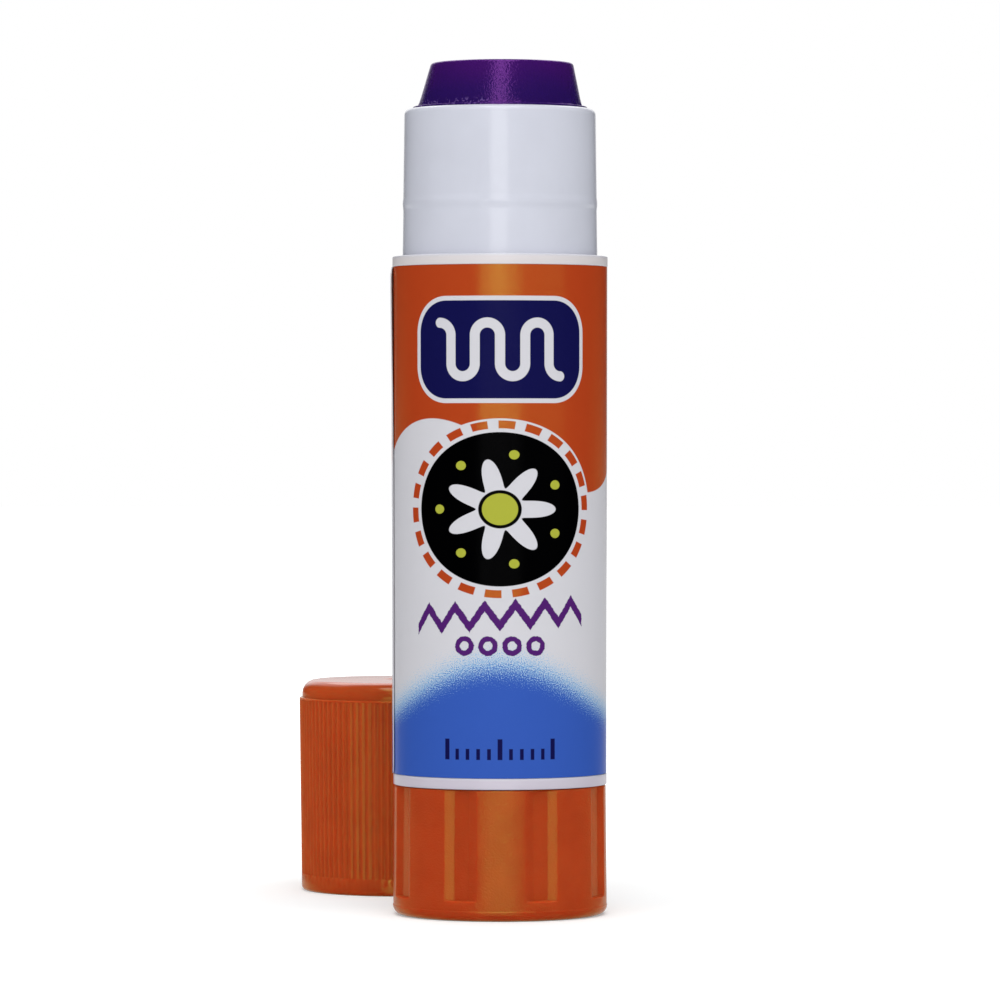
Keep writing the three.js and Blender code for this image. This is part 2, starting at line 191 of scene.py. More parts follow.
class CapSizes(bpy.types.PropertyGroup):
    """Sizes of the cap."""

    bore: length("Cap bore", "Inside of the cap at its mouth", 9.17)
    upper_bore: length("Cap upper bore", "Inside of the cap above the neck", 8.5)
    step: length("Cap bore step", "Height of the step in the bore", 14.4)
    wall: length("Cap wall", "Wall at the mouth, over the ribs", 0.78)
    top_wall: length("Cap top wall", "Thickness of the end", 1.1)
    flare: length("Cap flare", "How much wider the ribs are at their top", 0.21)
    band: length("Cap foot band", "Height of the plain band at the mouth", 1.6)
    foot_rounding: length("Cap foot rounding", "Outer edge of the mouth", 0.45)
    rib_top: length("Rib top", "Height where the ribs end", 18.72)
    rib_depth: length("Rib depth", "Depth of the grooves between the ribs", 0.125)
    flange: length("Cap flange", "Plain ring above the ribs", 0.13)
    collar_inset: length("Collar inset", "How far the collar is set in", 0.27)
    collar_rounding: length("Collar rounding", "Edge of the closed end", 1.3)
    crown: length("Crown", "Rise of the end towards its middle", 0.02)
    dimple: length("Gate dimple", "Radius of the moulding mark on the end", 2.2)
    dimple_depth: length("Gate dimple depth", "Depth of the moulding mark", 0.12)
    polish: length("Polished end", "How far down from the end the cap is polished", 0.9)
    rib_count: count("Ribs", "Ribs round the cap", 96, 12)


class StickColours(bpy.types.PropertyGroup):
    """Colours of the plastics, the glue and the label's inks."""

    white: colour("White plastic", "Barrel", (0.60, 0.612, 0.694))
    # The shoulder and foot tints are the white plastic with painted warm bounce light from the
    # orange label and knob beside them.
    shoulder_white_orange_bounce: colour("White plastic, shoulder", "Barrel's shoulder", (0.672, 0.632, 0.645))
    foot_white_orange_bounce: colour("White plastic, foot", "Barrel's foot band", (0.57, 0.53, 0.61))
    orange: colour("Orange plastic", "Knob and spindle", (0.465, 0.058, 0.0135))
    # The cap's orange is the knob's plastic painted lighter, to make up for the shade the stick
    # casts on the cap.
    cap_orange_painted_lighter: colour("Orange plastic, cap", "Cap", (0.49, 0.07, 0.0155))
    natural: colour("Natural plastic", "Carrier", (0.78, 0.77, 0.70))
    glue: colour("Glue", "The glue", (0.018, 0.005, 0.092))
    glue_light: colour("Glue, end", "The glue towards its end", (0.044, 0.005, 0.115))
    glue_fleck: colour("Glue, flecks", "Crumbs scraped up at the mouth", (0.13, 0.075, 0.26))
    film: colour("Film", "The label where it is bare", (0.60, 0.592, 0.63))
    ink_orange: colour("Orange ink", "Upper field of the label", (0.44, 0.045, 0.0105))
    ink_blue: colour("Blue ink", "Lower field of the label", (0.0335, 0.094, 0.425))
    ink_sky: colour("Light blue ink", "Edge of the lower field", (0.16, 0.45, 0.72))
    ink_navy: colour("Navy ink", "Badge and ruler", (0.0055, 0.0055, 0.062))
    ink_black: colour("Black ink", "Flower panel", (0.0003, 0.0003, 0.0005))
    ink_lime: colour("Lime ink", "Middle of the flower", (0.385, 0.405, 0.045))
    ink_purple: colour("Purple ink", "Crayon strokes", (0.075, 0.014, 0.14))
    orange_sheen: colour("Orange, sheen", "Shine of orange plastic and ink", (0.72, 0.96, 0.13))
    glue_sheen: colour("Glue, sheen", "Colour of its shine", (0.66, 0.11, 0.95))


class StageSettings(bpy.types.PropertyGroup):
    """Camera and studio light."""

    distance: length("Camera distance", "From the stick's axis", 530)
    height: length("Camera height", "Above the table", 44.5)
    tilt: degrees("Camera tilt", "Downward tilt", 0.65)
    lens: factor("Focal length", "In millimetres", 205.2, 1000)
    lamps: factor("Lamps", "Radiance of the lamps round the camera", 1.0, 100)
    overhead: factor("Overhead lamp", "Radiance of the lamp above the stick", 2.6, 100)
    overhead_back: factor("Overhead lamp, back", "Radiance of the lamp behind it", 1.2, 100)
    front: factor("Light from the front", "Soft light from the camera's side", 0.76, 10)
    back: factor("Light from the back", "Soft light from the backdrop's side", 0.4, 10)
    gloom: factor("Gloom", "What gloss shows of the room beside the camera", 0.02, 10)
    backdrop: factor("Backdrop", "What gloss shows of the white room behind the stick", 0.76, 10)
    floor_near: factor("Floor near", "Light added to the table round the stick", 0.28, 10)
    floor_far: factor("Floor far", "Light added to the table further out", 0.6, 10)


# Shader maths


class Wire:
    """An output of a finish's nodes, so that shader maths reads as plain expressions."""

    def __init__(self, finish, socket):
        self.finish = finish
        self.socket = socket

    def __add__(self, other):
        return self.finish.maths("ADD", self, other)

    __radd__ = __add__

    def __sub__(self, other):
        return self.finish.maths("SUBTRACT", self, other)

    def __rsub__(self, other):
        return self.finish.maths("SUBTRACT", other, self)

    def __mul__(self, other):
        return self.finish.maths("MULTIPLY", self, other)

    __rmul__ = __mul__

    def __truediv__(self, other):
        return self.finish.maths("DIVIDE", self, other)

    def __pow__(self, other):
        return self.finish.maths("POWER", self, other)

    def __abs__(self):
        return self.finish.maths("ABSOLUTE", self)


class Finish:
    """A material built from nodes, or the world's light."""

    def __init__(self, name, kind="materials"):
        self.material = getattr(bpy.data, kind).new(name)
        self.material.use_nodes = True
        self.tree = self.material.node_tree
        self.tree.nodes.clear()

    def node(self, kind, settings=None, inputs=None, output=0):
        """Adds a node, with its settings first and then its inputs, and returns one output."""
        node = self.tree.nodes.new("ShaderNode" + kind)
        for key, value in (settings or {}).items():
            if key == "stops":
                self.set_stops(node.color_ramp, value)
            else:
                setattr(node, key, value)
        for key, value in (inputs or {}).items():
            if isinstance(value, Wire):
                self.tree.links.new(value.socket, node.inputs[key])
            else:
                node.inputs[key].default_value = value
        return Wire(self, node.outputs[output]) if node.outputs else None

    @staticmethod
    def set_stops(ramp, stops):
        """Sets a ramp's stops, each a place and a colour."""
        while len(ramp.elements) < len(stops):
            ramp.elements.new(0.5)
        for element, (place, value) in zip(ramp.elements, stops):
            element.position = place
            element.color = (*value, 1)

    def maths(self, operation, *values, clamp=False):
        settings = {"operation": operation, "use_clamp": clamp}
        return self.node("Math", settings, dict(enumerate(values)))

    def least(self, *values):
        result = values[0]
        for value in values[1:]:
            result = self.maths("MINIMUM", result, value)
        return result

    def most(self, *values):
        result = values[0]
        for value in values[1:]:
            result = self.maths("MAXIMUM", result, value)
        return result

    def hypot(self, a, b):
        return self.maths("SQRT", a * a + b * b)

    def within(self, distance, blur=0.05):
        """1 inside a drawn shape, 0 outside, from a distance that is negative inside."""
        return self.maths("MULTIPLY_ADD", distance, -1 / blur, 0.5, clamp=True)

    def ramp(self, value, low, high, to_low=0.0, to_high=1.0):
        """Maps low..high smoothly onto to_low..to_high."""
        settings = {"interpolation_type": "SMOOTHSTEP"}
        places = {0: value, 1: low, 2: high, 3: to_low, 4: to_high}
        return self.node("MapRange", settings, places)

    def blend(self, amount, below, above):
        """Lays one colour over another."""
        inputs = {0: amount, 6: self.colour(below), 7: self.colour(above)}
        return self.node("Mix", {"data_type": "RGBA"}, inputs, output=2)

    @staticmethod
    def colour(value):
        return value if isinstance(value, Wire) else (*value, 1)

    def patchy(self, lumps, low, high):
        """A value from low to high that follows the middle range of a noise."""
        return self.ramp(lumps, 0.3, 0.7, low, high)

    def mottle(self, hue, amount, share):
        """Darkens a plain colour to a share of itself, by an amount from 0 to 1."""
        return self.blend(amount, hue, [part * share for part in hue])

    def place(self):
        """The point on the piece, in metres."""
        return self.node("TexCoord", output="Object")

    def split(self, vector):
        node = self.tree.nodes.new("ShaderNodeSeparateXYZ")
        self.tree.links.new(vector.socket, node.inputs[0])
        return [Wire(self, socket) for socket in node.outputs]

    def grain(self, size, detail=2.0, vector=None, roughness=0.5):
        """Noise from 0 to 1 with lumps of a given size in metres."""
        inputs = {
            "Vector": vector or self.place(),
            "Scale": 1 / size,
            "Detail": detail,
            "Roughness": roughness,
        }
        return self.node("TexNoise", {}, inputs)

    def bumps(self, *layers):
        """Stacks bumps, each a height from 0 to 1 and its depth in metres, into one normal."""
        normal = None
        for height, depth in layers:
            inputs = {"Height": height, "Distance": depth, "Strength": 1.0}
            if normal:
                inputs["Normal"] = normal
            normal = self.node("Bump", {}, inputs)
        return normal

    def shader(self, base, roughness, normal, fixed=None):
        """One glossy shader. Fixed values go straight onto its own sockets."""
        inputs = {
            "Base Color": self.colour(base),
            "Roughness": roughness,
            "IOR": 1.49,
            "Normal": normal,
            **(fixed or {}),
        }
        return self.node("BsdfPrincipled", {}, inputs)

    def gild(self, shader, share, tint, roughness, normal):
        """Mixes a share of coloured mirror into a shader."""
        fixed = {"Metallic": 1.0, "Specular Tint": (*tint, 1)}
        mirror = self.shader(tint, roughness, normal, fixed)
        return self.node("MixShader", {}, {0: share, 1: shader, 2: mirror})

    def end(self, shader):
        """Ends the material in a shader."""
        self.node("OutputMaterial", {}, {"Surface": shader})
        return self.material

    def surface(self, base, roughness, normal, fixed=None):
        """Ends the material in one glossy shader."""
        return self.end(self.shader(base, roughness, normal, fixed))


# Finishes


def white_plastic(colours):
    """Glossy moulded plastic, faintly mottled, with painted warm bounce light from the orange
    parts in the bands beside them.
    """
    f = Finish("white_plastic")
    _, _, z = f.split(f.place())
    label_low, label_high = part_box("label")
    cloud = f.grain(4 * MM)
    base = f.mottle(colours.white, f.ramp(cloud, 0.35, 0.7), 0.975)
    # Painted warm light from the orange knob just below the foot band.
    foot = f.ramp(z, label_low.z - 0.2 * MM, label_low.z, 1.0, 0.0)
    base = f.blend(foot, base, colours.foot_white_orange_bounce)
    # Painted warm light from the label's orange field just below the shoulder band.
    shoulder = f.ramp(z, label_high.z, label_high.z + 0.3 * MM)
    shoulder = shoulder * f.ramp(z, label_high.z + 0.8 * MM, label_high.z + 1.2 * MM, 1.0, 0.0)
    base = f.blend(shoulder, base, colours.shoulder_white_orange_bounce)
    fine = f.grain(0.16 * MM, detail=3)
    wave = f.grain(1.4 * MM, detail=1)
    normal = f.bumps((fine, 0.0015 * MM), (wave, 0.006 * MM))
    return f.surface(base, f.patchy(fine, 0.12, 0.18) + shoulder * 0.2, normal)


def orange_plastic(name, colours, hue, grain_depth, bleed, smooth_from=None):
    """Satin moulded plastic with a fine spark-eroded grain, polished above a height if given.

    Light bleeds under its skin by a length, and a share of it shines in the colour of brass.
    """
    f = Finish(name)
    cloud = f.grain(3 * MM)
    base = f.mottle(hue, f.ramp(cloud, 0.35, 0.7), 0.92)
    fine = f.grain(0.16 * MM, detail=1)
    wave = f.grain(0.9 * MM, detail=1)
    height = fine
    gloss = f.patchy(fine, 0.14, 0.24)
    if smooth_from:
        _, _, z = f.split(f.place())
        satin = f.ramp(z, smooth_from, smooth_from + 0.6 * MM, 1.0, 0.0)
        height = fine * satin
    normal = f.bumps((height, grain_depth), (wave, 0.004 * MM))
    fixed = {
        "Specular IOR Level": 0.042,
        "Subsurface Weight": 1.0,
        "Subsurface Radius": (1.0, 0.35, 0.2),
        "Subsurface Scale": bleed,
    }
    plain = f.shader(base, gloss, normal, fixed)
    gilded = f.gild(plain, 0.064, colours.orange_sheen, gloss, normal)
    if not smooth_from:
        return f.end(gilded)
    polished = f.shader(base, 0.12, normal)
    return f.end(f.node("MixShader", {}, {0: satin, 1: polished, 2: gilded}))


def natural_plastic(colours):
    """Unpigmented plastic, slightly waxy."""
    f = Finish("natural_plastic")
    cloud = f.grain(2.5 * MM)
    base = f.mottle(colours.natural, cloud, 0.93)
    fine = f.grain(0.2 * MM)
    return f.surface(base, f.patchy(fine, 0.38, 0.5), f.bumps((fine, 0.005 * MM)))


def glue_finish(colours):
    """Smooth solid glue, redder towards its end, with a sheen broken up by fine pits."""
    f = Finish("glue")
    x, _, z = f.split(f.place())
    _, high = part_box("glue_core")
    cloud = f.grain(5 * MM, detail=1)
    near_end = f.ramp(z + (cloud - 0.5) * 3 * MM, high.z - 3.2 * MM, high.z + 0.6 * MM)
    base = f.blend(near_end, colours.glue, colours.glue_light)
    fine = f.grain(0.19 * MM, detail=1)
    pits = f.grain(0.6 * MM, detail=2)
    flecks = f.ramp(f.grain(0.24 * MM, detail=1), 0.55, 0.66)
    off_tip_foot = abs(z - (high.z - 4.1 * MM))
    flecks = flecks * f.ramp(off_tip_foot, 0.3 * MM, 0.7 * MM, 1.0, 0.0)
    flecks = flecks * f.ramp(x, -2 * MM, 0, 0.8, 0.0)
    base = f.blend(flecks, base, colours.glue_fleck)
    normal = f.bumps((fine, 0.032 * MM), (pits, 0.01 * MM))
    gloss = f.patchy(fine, 0.16, 0.26)
    plain = f.shader(base, gloss, normal, {"Specular IOR Level": 0.1})
    return f.end(f.gild(plain, 0.07, colours.glue_sheen, gloss, normal))


def film_back(colours):
    """The label's white backing and its cut edge."""
    f = Finish("film_back")
    fine = f.grain(0.3 * MM)
    base = f.mottle(colours.film, fine, 0.94)
    return f.surface(base, 0.5, f.bumps((fine, 0.003 * MM)))


# The label's print. Places are in millimetres on the unrolled film: u to the right from the
# front's middle, v up from the lower edge.


class Print:
    """Inks laid one over another on the film."""

    def __init__(self, finish, film):
        self.finish = finish
        self.colour = film
        self.golden = 0.0

    def lay(self, shape, ink, golden=0.0, blur=0.05):
        """Lays an ink inside a shape, given as a distance that is negative inside."""
        self.wash(self.finish.within(shape, blur), ink, golden)

    def wash(self, amount, ink, golden=0.0):
        """Lays an ink by an amount from 0 to 1. Golden ink shines in the colour of brass."""
        self.colour = self.finish.blend(amount, self.colour, ink)
        self.golden = self.golden * (1 - amount) + amount * golden


def wavy_line(f, u, middle, swing, phase):
    """Height of a wavy line across the film."""
    return middle + swing * f.maths("SINE", u * 0.2 + phase)


def printed_film(colours):
    """The whole print as one finish, with the film's gloss over it."""
    f = Finish("printed_film")
    uv = f.node("UVMap", {"uv_map": "unrolled"})
    u, v, _ = f.split(uv)
    art = Print(f, colours.film)
    art.lay(wavy_line(f, u, 29.5, 3.4, 2.9) - v, colours.ink_orange, 1.0, blur=0.08)

    below = v - wavy_line(f, u, 7.4, 2.4, 1.6)
    speck = f.grain(0.1, detail=0, vector=uv) - 0.5
    art.wash(f.ramp(below + speck * 5.0, 0.2, 2.4, 0.75, 0.0), colours.ink_sky)
    art.wash(f.ramp(below + speck * 4.2, -0.9, 1.3, 1.0, 0.0), colours.ink_blue)

    crayon_edge = (f.grain(0.35, detail=3, vector=uv) - 0.5) * 0.25
    draw_badge(f, art, colours, u, v - 39.2)
    draw_flower_panel(f, art, colours, u, v - 24.6)
    draw_crayon(f, art, colours, crayon_edge, u, v - 13.6)
    draw_ruler(f, art, colours, u, v - 1.7)
    draw_back_panel(f, art, colours, crayon_edge, u - 31.0, v - 24.0)
    draw_flap_dashes(f, art, colours, u - 47.2, v - 43.0)

    fine = f.grain(0.14, detail=2, vector=uv)
    wave = f.grain(1.3, detail=1, vector=uv)
    normal = f.bumps((fine, 0.008 * MM), (wave, 0.004 * MM))
    gloss = f.patchy(fine, 0.14, 0.22)
    plain = f.shader(art.colour, gloss, normal, {"Specular IOR Level": 0.03})
    return f.end(f.gild(plain, art.golden * 0.08, colours.orange_sheen, gloss, normal))


def rounded_box(f, across, up, half_width, half_height, rounding):
    """Distance to a rounded rectangle round the point where across and up are 0."""
    x = abs(across) - (half_width - rounding)
    y = abs(up) - (half_height - rounding)
    outside = f.hypot(f.most(x, 0.0), f.most(y, 0.0))
    return outside + f.least(f.most(x, y), 0.0) - rounding


def zigzag(f, across, up, pitch, height):
    """Distance to the middle of a zigzag line, roughly."""
    zig = f.maths("PINGPONG", across, pitch / 2)
    return abs(up - (zig - pitch / 4) * (2 * height / pitch)) * 0.6


def draw_badge(f, art, colours, across, up):
    """A navy lozenge with a white rim, and in it one looping line of squeezed glue."""
    box = rounded_box(f, across, up, half_width=8.5, half_height=4.9, rounding=3.4)
    rim = 0.42
    art.lay(box, colours.film)
    art.lay(box + rim, colours.ink_navy)
    half_line = 0.46
    bend = 1.15
    straight = 1.3
    end = 5 * bend
    side = f.maths("SIGN", up)
    off_bend = (f.maths("PINGPONG", across + bend, 2 * bend) - bend) * side + bend
    line = abs(f.hypot(off_bend, f.most(abs(up) - straight, 0.0)) - bend)
    side = f.maths("SIGN", across)
    blob = f.hypot(across * side - end, up * side + straight + bend)
    line = f.least(f.most(line, abs(across) - end + half_line), blob)
    art.lay(line - half_line, colours.film)


def draw_flower_panel(f, art, colours, across, up):
    """A black oval in a ring of orange dashes, and in it a white flower with lime dots."""
    petals = 7
    dashes = 22.0
    dash_ring = 7.75
    half_dash = 0.36
    oval = 7.05
    rim = 8.3
    petal_reach = 3.3
    petal_swing = 1.35
    eye = 1.45
    eye_line = 0.3
    dot_ring = 5.1
    dot = 0.42
    narrow = across * 0.88
    reach = f.hypot(narrow, up)
    turn = f.maths("ARCTAN2", up, narrow)
    ring = abs(reach - dash_ring) - half_dash
    dash = f.maths("SINE", turn * dashes) * -half_dash - half_dash / 3
    art.lay(reach - rim, colours.film)
    art.lay(f.most(ring, dash), colours.ink_orange, 1.0)
    art.lay(reach - oval, colours.ink_black)
    petal = reach - (petal_reach + petal_swing * f.maths("COSINE", turn * petals))
    art.lay(petal * 0.6, colours.film)
    art.lay(reach - (eye + eye_line), colours.ink_black)
    art.lay(reach - eye, colours.ink_lime)
    half_step = math.pi / petals
    off_dot = (half_step - f.maths("PINGPONG", turn, half_step)) * dot_ring
    art.lay(f.hypot(reach - dot_ring, off_dot) - dot, colours.ink_lime)


def draw_crayon(f, art, colours, crayon_edge, across, up):
    """A purple zigzag over a row of purple rings, drawn with a blunt crayon."""
    half_width = 8.4
    half_line = 0.32
    climb = 0.045
    line = zigzag(f, across + half_width, up - 1.3 - across * climb, pitch=2.8, height=1.9)
    line = f.most(line - half_line, abs(across) - half_width)
    art.lay(line + crayon_edge, colours.ink_purple)
    half_pitch = 1.1
    ring = 0.66
    ring_line = 0.24
    rings = f.hypot(f.maths("PINGPONG", across + half_pitch, half_pitch), up + 1.5)
    rings = abs(rings - ring) - ring_line
    rings = f.most(rings, abs(across) - 4 * half_pitch)
    art.lay(rings + crayon_edge, colours.ink_purple)


def draw_ruler(f, art, colours, across, up):
    """A plain navy scale in millimetres near the lower edge."""
    half_length = 5.6
    half_short = 0.5
    half_tall = 0.95
    tick = f.maths("PINGPONG", across, 0.5) - 0.17
    long_tick = f.maths("PINGPONG", across, 2.5) - 0.22
    short = f.most(tick, abs(up - half_short) - half_short)
    tall = f.most(long_tick, abs(up - half_tall) - half_tall)
    art.lay(f.most(f.least(short, tall), abs(across) - half_length), colours.ink_navy)


def draw_back_panel(f, art, colours, crayon_edge, across, up):
    """A white panel on the back with three discs that fade from purple, a zigzag and ticks."""
    box = rounded_box(f, across, up, half_width=8.5, half_height=10.5, rounding=1.6)
    inset = 0.7
    half_line = 0.14
    art.lay(box, colours.film)
    art.lay(abs(box + inset) - half_line, colours.ink_navy)
    disc = 1.8
    disc_line = 0.13
    for place, strength in ((-4.6, 1.0), (0.0, 0.45), (4.6, 0.12)):
        off_edge = f.hypot(across - place, up - 5.0) - disc
        art.wash(f.within(off_edge) * strength, colours.ink_purple)
        art.lay(abs(off_edge) - disc_line, colours.ink_navy)
    past_end = abs(across) - 6.0
    line = zigzag(f, across, up, pitch=2.4, height=1.6) - 0.2
    art.lay(f.most(line, past_end) + crayon_edge, colours.ink_purple)
    tick = f.most(f.maths("PINGPONG", across, 0.6) - 0.16, abs(up + 5.4) - 1.2)
    art.lay(f.most(tick, past_end), colours.ink_navy)


def draw_flap_dashes(f, art, colours, across, up):
    """Short black register dashes beside the label's loose edge."""
    half_pitch = 0.55
    half_tall = 0.25
    half_wide = 0.55
    half_row = 4.6
    dash = f.most(f.maths("PINGPONG", up, half_pitch) - half_tall, abs(across) - half_wide)
    art.lay(f.most(dash, abs(up) - half_row), colours.ink_black)


# Modelling helpers


def trace(bm, corners, closed=False):
    """Draws an outline in the XZ plane.

    A corner is a radius, a height and, where it is rounded, the radius of its rounding.
    """
    verts = [bm.verts.new((corner[0], 0, corner[1])) for corner in corners]
    for first, second in zip(verts, verts[1:]):
        bm.edges.new((first, second))
    if closed:
        bm.edges.new((verts[-1], verts[0]))
    for vert, corner in zip(verts, corners):
        if len(corner) > 2:
            round_corner(bm, vert, corner[2])


def round_corner(bm, vert, rounding, segments=5):
    """Turns a corner of an outline into an arc."""
    before, after = [edge.other_vert(vert).co - vert.co for edge in vert.link_edges]
    offset = rounding / math.tan(before.angle(after) / 2)
    bmesh.ops.bevel(
        bm,
        geom=[vert],
        offset=offset,
        offset_type="OFFSET",
        segments=segments,
        profile=0.5,
        affect="VERTICES",
        material=-1,
        clamp_overlap=True,
    )


def spin(bm, geom, angle, steps, copies=False):
    """Spins geometry round Z, drawing faces behind it or leaving copies of it."""
    spun = bmesh.ops.spin(
        bm,
        geom=geom,
        cent=(0, 0, 0),
        axis=(0, 0, 1),
        dvec=(0, 0, 0),
        angle=angle,
        steps=steps,
        use_merge=False,
        use_duplicate=copies,
    )
    return spun["geom_last"]


def turn_sector(bm, sweeps):
    """Turns the outline round Z through sweeps, each an angle and its steps."""
    last = bm.verts[:] + bm.edges[:]
    for angle, steps in sweeps:
        last = spin(bm, last, angle, steps)
    loose = [edge for edge in bm.edges if not edge.link_faces]
    bmesh.ops.delete(bm, geom=loose, context="EDGES")


def close_round(bm, sectors):
    """Repeats one sector round Z until it closes on itself, and turns its faces outwards."""
    whole = bm.verts[:] + bm.edges[:] + bm.faces[:]
    copies = sectors - 1
    spin(bm, whole, FULL_TURN * copies / sectors, copies, copies=True)
    bmesh.ops.remove_doubles(bm, verts=bm.verts[:], dist=0.0005 * MM)
    bmesh.ops.recalc_face_normals(bm, faces=bm.faces[:])


def subdivide_height(bm, low, high, cuts):
    """Adds loops to the outline's upright stretches between two heights."""
    edges = [
        edge
        for edge in bm.edges
        if min(v.co.z for v in edge.verts) <= low and max(v.co.z for v in edge.verts) >= high
    ]
    bmesh.ops.subdivide_edges(bm, edges=edges, cuts=cuts)


def polar(vert):
    """Radius and angle of a vertex about Z."""
    return math.hypot(vert.co.x, vert.co.y), math.atan2(vert.co.y, vert.co.x)


def set_radius(vert, radius):
    """Moves a vertex straight in or out to a radius."""
    reach = math.hypot(vert.co.x, vert.co.y)
    vert.co.x *= radius / reach
    vert.co.y *= radius / reach


def settle(value, low, high):
    """0 at low, 1 at high, straight between."""
    return min(max((value - low) / (high - low), 0), 1)


def finish_piece(bm, name, materials, body, replaced, sharp=32):
    """Makes the finished object and fixes it to its body.

    Edges that turn by more than an angle in degrees stay sharp.
    """
    mesh = bpy.data.meshes.new(name)
    bm.to_mesh(mesh)
    bm.free()
    mesh.shade_smooth()
    mesh.set_sharp_from_angle(angle=math.radians(sharp))
    for material in materials:
        mesh.materials.append(material)
    piece = bpy.data.objects.new(name, mesh)
    bpy.context.collection.objects.link(piece)
    even = piece.modifiers.new("Even normals", "WEIGHTED_NORMAL")
    even.keep_sharp = True
    even.weight = 85
    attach(piece, body)
    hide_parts(*replaced)


def heights(scene):
    """Heights that several pieces share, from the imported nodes' boxes."""
    stick = scene.stick_sizes
    label_low, label_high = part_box("label")
    barrel_low, barrel_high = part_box("barrel")
    _, knob_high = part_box("knob")
    film_top = label_high.z + stick.film_rise
    return {
        "foot": barrel_low.z,
        "rim": barrel_high.z,
        "shoulder": barrel_high.z - stick.neck_height,
        "panel_low": label_low.z - stick.film_play,
        "panel_high": film_top + 0.01 * MM,
        "label_low": label_low.z,
        "label_high": film_top,
        "hub_top": knob_high.z,
        "socket_top": knob_high.z + stick.socket_gap,
        "snap": barrel_low.z + stick.snap_height,
        "knob_top": barrel_low.z - scene.knob_sizes.gap,
    }


# Pieces


class STICK_OT_barrel(bpy.types.Operator):
    """Models the white barrel: neck, snap bead, shoulder, label panel, foot band and bore"""

    bl_idname = "stick.barrel"
    bl_label = "Barrel"

    def execute(self, context):
        s = context.scene.stick_sizes
        at = heights(context.scene)
        panel = s.bore + s.panel_wall
        shoulder = panel + s.band_rise
        foot = shoulder - s.panel_draft
        neck_rim = s.bore + s.neck_wall
        neck_foot = neck_rim + s.neck_taper
        bead = at["shoulder"] + s.bead_height
        bead_foot = neck_foot - s.neck_taper * s.bead_height / s.neck_height
        bead_blend = 3 * MM
        bead_crest = 2 * MM
        socket = s.bore + s.socket_wall
        snap = socket + s.snap_depth
        snap_low = at["snap"] - s.snap_half
        snap_high = at["snap"] + s.snap_half
        groove_end = at["shoulder"] - s.groove_end
        soft = 0.1 * MM
        bm = bmesh.new()
        trace(
            bm,
            [
                (s.bore, at["socket_top"]),
                (socket, at["socket_top"]),
                (socket, snap_high),
                (snap, snap_high),
                (snap, snap_low),
                (socket, snap_low),
                (socket, at["foot"], 2 * soft),
                (foot, at["foot"], s.band_rounding),
                (foot, at["panel_low"], s.band_rounding / 2),
                (panel - s.panel_draft, at["panel_low"]),
                (panel, at["panel_high"]),
                (shoulder, at["panel_high"], s.band_rounding / 2),
                (shoulder, at["shoulder"], s.band_rounding),
                (neck_foot, at["shoulder"], soft),
                (bead_foot, bead - s.bead_width / 2, bead_blend),
                (bead_foot + s.bead_rise, bead, bead_crest),
                (bead_foot, bead + s.bead_width / 2, bead_blend),
                (neck_rim, at["rim"], s.rim_rounding),
                (s.bore, at["rim"], soft),
                (s.bore, groove_end),
                (s.bore, groove_end - soft),
            ],
            closed=True,
        )
        pitch = FULL_TURN / s.groove_count
        side = math.radians(0.4)
        groove = s.groove_width / s.bore
        plain = pitch - groove - 2 * side
        turn_sector(bm, [(plain / 2, 16), (side, 1), (groove, 10), (side, 1), (plain / 2, 16)])
        for vert in bm.verts:
            radius, angle = polar(vert)
            off_middle = abs(angle - pitch / 2)
            in_groove = off_middle < (groove + side) / 2
            low_enough = at["socket_top"] - soft < vert.co.z < groove_end - soft / 2
            if in_groove and low_enough and abs(radius - s.bore) < soft / 4:
                set_radius(vert, s.bore + s.groove_depth)
        close_round(bm, s.groove_count)
        finish_piece(
            bm,
            "barrel_shell",
            [white_plastic(context.scene.stick_colours)],
            "barrel",
            ["barrel"],
        )
        return {"FINISHED"}


class STICK_OT_label(bpy.types.Operator):
    """Models the printed film, wrapped round the panel with its loose edge lapped at the left"""

    bl_idname = "stick.label"
    bl_label = "Label"

    def execute(self, context):
        s = context.scene.stick_sizes
        at = heights(context.scene)
        panel = s.bore + s.panel_wall
        lie = panel + s.film_gap + s.film
        tall = at["label_high"] - at["label_low"]
        sweep = FULL_TURN + s.flap_lap
        start = math.pi + s.flap_end - s.flap_lap
        climb = math.radians(7)
        lap_rise = s.film + 0.02 * MM
        loose_from = sweep - s.flap_lap * 0.6
        least_curl = 0.2
        curl_reach = 11 * MM
        bm = bmesh.new()
        unrolled = bm.loops.layers.uv.new("unrolled")
        bmesh.ops.create_grid(bm, x_segments=240, y_segments=40, size=0.5)
        for face in bm.faces:
            for loop in face.loops:
                angle = start + (loop.vert.co.x + 0.5) * sweep
                around = (angle - FULL_TURN - FRONT) * panel / MM
                up = (loop.vert.co.y + 0.5) * tall / MM
                loop[unrolled].uv = (around, up)
        for vert in bm.verts:
            along = (vert.co.x + 0.5) * sweep
            near_edge = max(s.flap_corner - (sweep - along) * lie, 0)
            cut = s.flap_corner - math.sqrt(s.flap_corner**2 - near_edge**2)
            up = min(max((vert.co.y + 0.5) * tall, cut), tall - cut)
            lapped = settle(along, FULL_TURN - climb, FULL_TURN)
            lapped = lapped * lapped * (3 - 2 * lapped)
            loose = settle(along, loose_from, sweep) ** 2
            near_top = math.exp(-(((tall - up) / curl_reach) ** 2))
            curl = least_curl + (1 - least_curl) * near_top
            radius = lie + lapped * lap_rise + loose * curl * s.flap_lift
            radius -= s.panel_draft * (1 - up / tall)
            angle = start + along
            vert.co = (radius * math.cos(angle), radius * math.sin(angle), at["label_low"] + up)
        bm.normal_update()
        bmesh.ops.solidify(bm, geom=bm.faces[:], thickness=s.film)
        for face in bm.faces:
            middle = face.calc_center_median()
            outward = face.normal.xy.dot(middle.xy.normalized())
            face.material_index = 0 if outward > 0.5 else 1
        colours = context.scene.stick_colours
        finish_piece(
            bm,
            "label_film",
            [printed_film(colours), film_back(colours)],
            "barrel",
            ["label"],
        )
        return {"FINISHED"}


